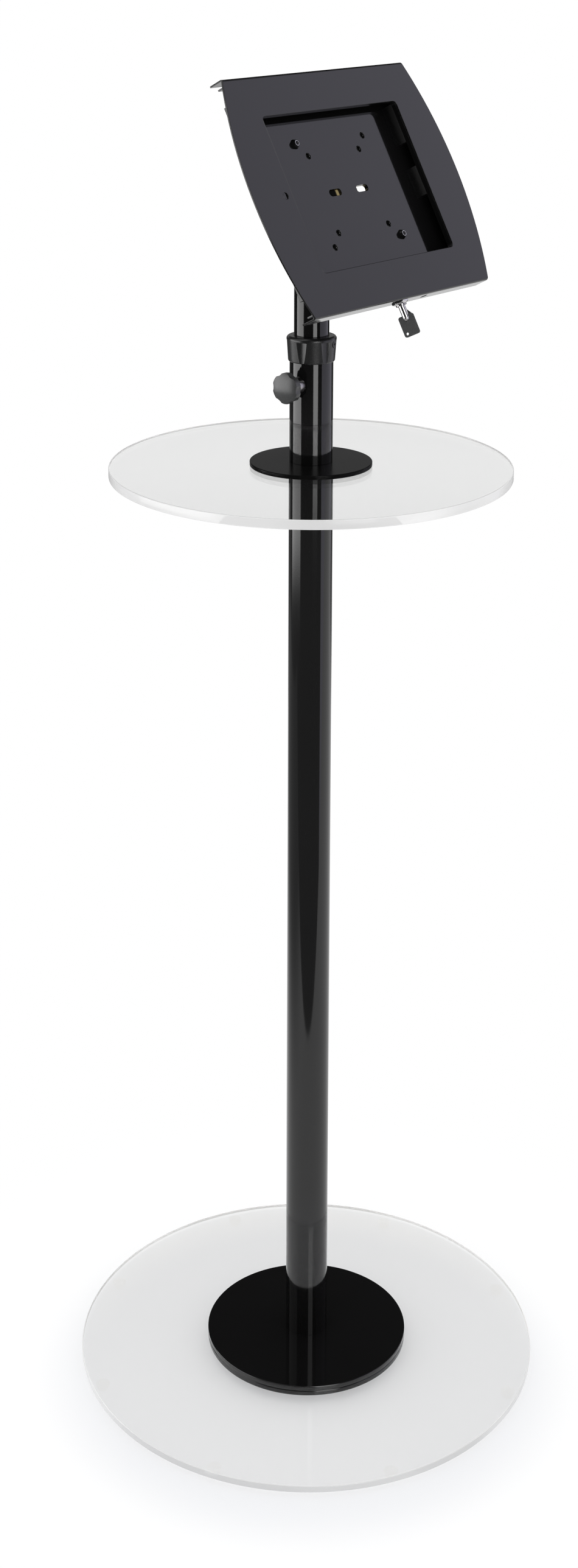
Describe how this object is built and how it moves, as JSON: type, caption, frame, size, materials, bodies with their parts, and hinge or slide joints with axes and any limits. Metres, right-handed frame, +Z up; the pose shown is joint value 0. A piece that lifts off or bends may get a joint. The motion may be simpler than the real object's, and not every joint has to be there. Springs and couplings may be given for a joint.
{
  "type": "tablet kiosk floor stand",
  "caption": "Floor stand with a tilting lockable tablet enclosure on a telescopic black column, clear round shelf and clear round base.",
  "frame": {"origin": "on the floor at the middle of the round base, on the column's axis", "axes": "+Z up the column, -Y the way the enclosure faces, +X to the right as seen from the front"},
  "size_m": [0.4599, 0.46, 1.3055],
  "materials": {
    "clear": "clear gloss",
    "black_gloss": "gloss",
    "black_plastic": "satin",
    "slide_plastic": "satin",
    "steel": "satin",
    "black_steel": "satin",
    "zinc": "yellow passivated zinc",
    "chrome": "polished",
    "foam": "matte"
  },
  "bodies": {
    "column": {"base_plate": "clear", "base_feet": "clear", "base_disc_lower": "black_gloss", "base_disc_upper": "black_gloss", "base_washer": "steel", "base_bolt": "steel", "lower_pole": "black_gloss", "pole_foot_plug": "steel", "coupling_sleeve": "steel", "shelf_plate": "clear", "shelf_flange": "black_gloss", "stub_tube": "black_gloss", "outer_tube": "black_gloss", "collar": "black_plastic", "collar_screw": "black_steel", "clamp_boss": "chrome"},
    "pad": {"clamp_pad": "slide_plastic"},
    "knob": {"clamp_knob": "black_plastic", "clamp_stud": "steel"},
    "glide": {"glide_ring": "slide_plastic"},
    "mast": {"inner_tube": "black_gloss", "mast_cap": "black_plastic", "snap_ring": "steel", "mast_block": "black_steel", "mast_screws": "steel"},
    "head": {"tilt_bracket": "zinc", "tilt_bolt": "steel", "tilt_washers": "steel", "tilt_nut": "steel", "tray": "black_gloss", "tray_screws": "black_steel", "tray_nuts": "steel", "foam_pads": "foam"},
    "bezel": {"front_bezel": "black_gloss", "bezel_strips": "black_gloss", "lock_barrel": "chrome", "lock_collar": "chrome", "lock_nut": "chrome"},
    "lock": {"lock_plug": "chrome", "lock_cam": "chrome", "cam_nut": "chrome"},
    "key": {"key_stem": "chrome", "key_bow": "black_plastic"}
  },
  "joints": [
    {"name": "height_slide", "type": "slide", "parent": "column", "child": "glide", "axis": [0, 0, 1], "range_m": [-0.02, 0.2]},
    {"name": "mast_swivel", "type": "hinge", "parent": "glide", "child": "mast", "pos_m": [0, 0, 0.61], "axis": [0, 0, 1], "continuous": true},
    {"name": "head_tilt", "type": "hinge", "parent": "mast", "child": "head", "pos_m": [0, 0, 1.1773], "axis": [-1, 0, 0], "range_deg": [-28, 32]},
    {"name": "bezel_open", "type": "hinge", "parent": "head", "child": "bezel", "pos_m": [0, 0.00806, 1.29737], "axis": [-1, 0, 0], "range_deg": [0, 50]},
    {"name": "lock_turn", "type": "hinge", "parent": "bezel", "child": "lock", "pos_m": [0, -0.1012, 1.1037], "axis": [0, 0.4695, 0.8829], "range_deg": [0, 90]},
    {"name": "key_pull", "type": "slide", "parent": "lock", "child": "key", "axis": [0, -0.4695, -0.8829], "range_m": [0, 0.009]},
    {"name": "clamp_travel", "type": "slide", "parent": "column", "child": "pad", "axis": [-1, 0, 0], "range_m": [0, 0.001]},
    {"name": "clamp_turn", "type": "hinge", "parent": "pad", "child": "knob", "pos_m": [-0.032, 0, 1.0155], "axis": [-1, 0, 0], "range_deg": [0, 288]}
  ],
  "couplings": [
    {"joint": "clamp_travel", "follows": "clamp_turn", "m_per_rad": 0.00019894}
  ]
}
